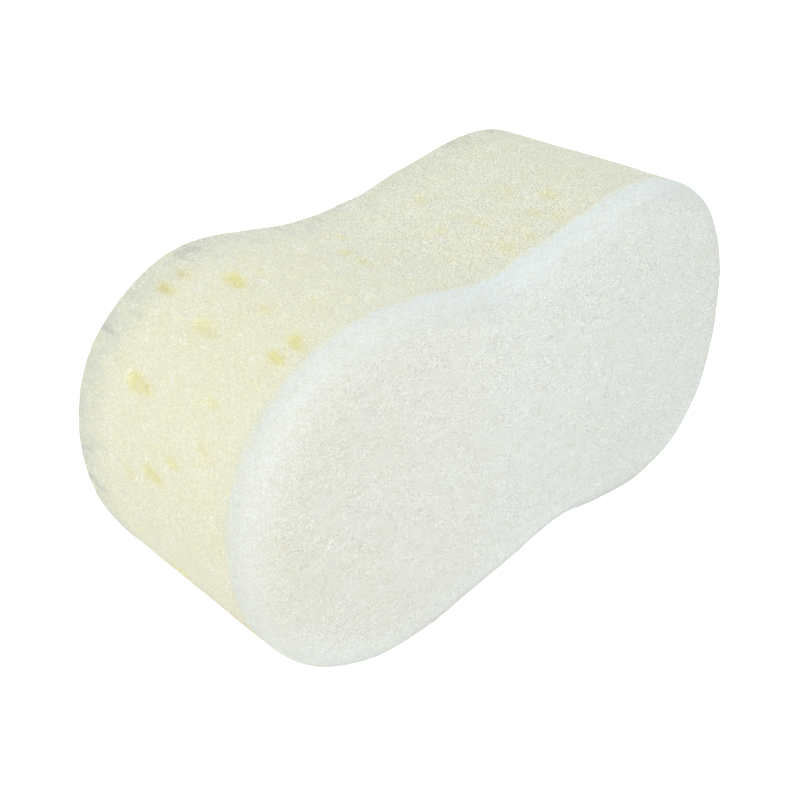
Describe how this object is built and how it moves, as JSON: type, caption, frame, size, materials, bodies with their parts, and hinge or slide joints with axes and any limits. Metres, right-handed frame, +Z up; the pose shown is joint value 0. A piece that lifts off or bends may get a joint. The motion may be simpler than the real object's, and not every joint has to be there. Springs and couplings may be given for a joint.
{
  "type": "cleaning sponge",
  "caption": "Peanut-shaped cleaning sponge: a thick cream foam block with a white fleece scouring pad bonded to its front face.",
  "frame": {"origin": "centre of the footprint, on the surface that both lobes stand on", "axes": "+X along the length, +Y from the pad's face to the foam's back face, +Z up across the lobes"},
  "size_m": [0.1404, 0.053, 0.0754],
  "materials": {
    "foam": "matte open-cell polyurethane foam, pale cream yellow",
    "pad": "matte non-woven fleece, off-white"
  },
  "bodies": {
    "root": {"foam_block": "foam", "scouring_pad": "pad"}
  },
  "joints": []
}
